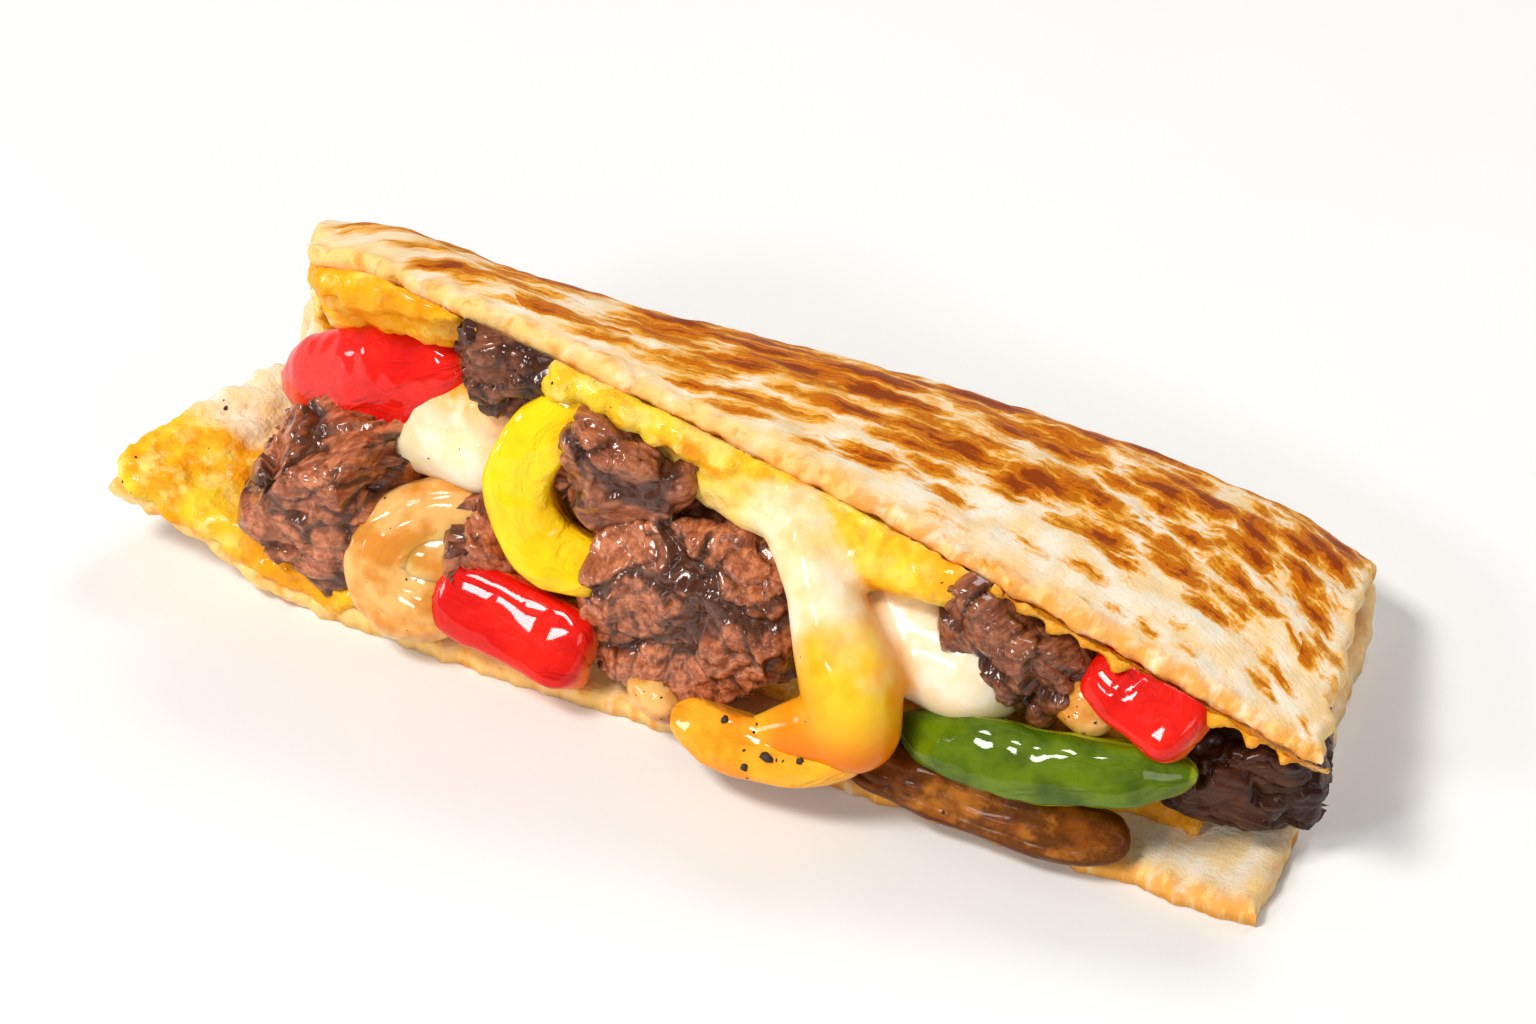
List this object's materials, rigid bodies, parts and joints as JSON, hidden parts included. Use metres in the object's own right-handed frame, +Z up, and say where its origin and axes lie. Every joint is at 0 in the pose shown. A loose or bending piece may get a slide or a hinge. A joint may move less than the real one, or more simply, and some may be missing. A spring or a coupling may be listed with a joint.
{
  "type": "steak quesadilla wedge",
  "caption": "Wedge of folded, griddled flour tortilla, open along its cut front and at its ends, filled with melted cheese, grilled steak, pepper strips and onion.",
  "frame": {"origin": "centre of the wedge's box, on the surface that the lower layer rests on", "axes": "+X along the cut from the tall open end to the low one, +Y towards the fold, +Z up"},
  "size_m": [0.1381, 0.0595, 0.0431],
  "materials": {
    "tortilla": "matte, griddled flour dough",
    "cheese": "glossy, melted",
    "steak": "moist, seared meat",
    "red_pepper": "glossy skin",
    "yellow_pepper": "glossy skin",
    "green_pepper": "glossy skin",
    "onion": "glossy, fried soft"
  },
  "bodies": {
    "root": {"tortilla": "tortilla", "melted_cheese": "cheese", "steak_inner": "steak", "steak_large": "steak", "steak_left": "steak", "steak_middle": "steak", "steak_right": "steak", "steak_slanted": "steak", "steak_upper": "steak", "green_pepper_back": "green_pepper", "green_pepper_right": "green_pepper", "onion_petal_front": "onion", "onion_petal_inner": "onion", "onion_ring": "onion", "onion_strip_right": "onion", "red_pepper_end": "red_pepper", "red_pepper_left": "red_pepper", "red_pepper_middle": "red_pepper", "red_pepper_right": "red_pepper", "yellow_pepper_front": "yellow_pepper", "yellow_pepper_ring": "yellow_pepper"}
  },
  "joints": []
}
